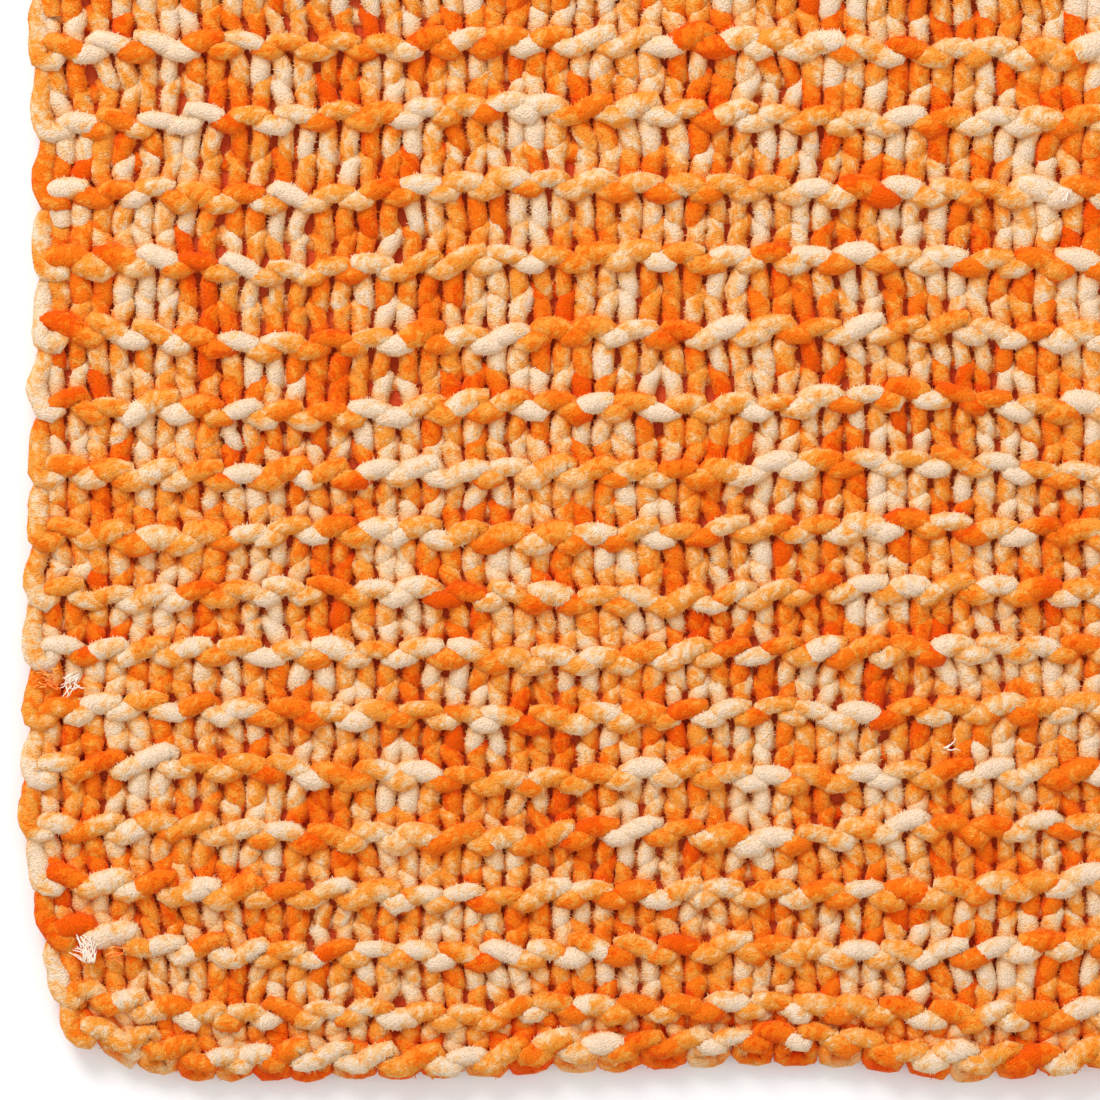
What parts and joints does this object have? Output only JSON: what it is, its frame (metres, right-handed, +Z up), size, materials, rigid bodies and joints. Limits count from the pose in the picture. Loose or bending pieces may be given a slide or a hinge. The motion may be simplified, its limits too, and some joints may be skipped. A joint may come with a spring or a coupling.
{
  "type": "chunky knitted chenille blanket",
  "caption": "Thick garter-knitted blanket of mottled orange, peach and cream plush yarn, laid flat, to cover a lap, a pram or a chair.",
  "frame": {"origin": "centre of the blanket's flat back, where it rests on the surface", "axes": "+Z up through the thickness, out of the ridged face; +X along the knitted rows; +Y from the cast-on edge to the bound-off edge"},
  "size_m": [0.6056, 0.6002, 0.012],
  "materials": {
    "plush_yarn": "soft matt chenille pile, mottled cream, peach, orange and red-orange along the yarn"
  },
  "bodies": {
    "root": {"blanket": "plush_yarn"}
  },
  "joints": []
}
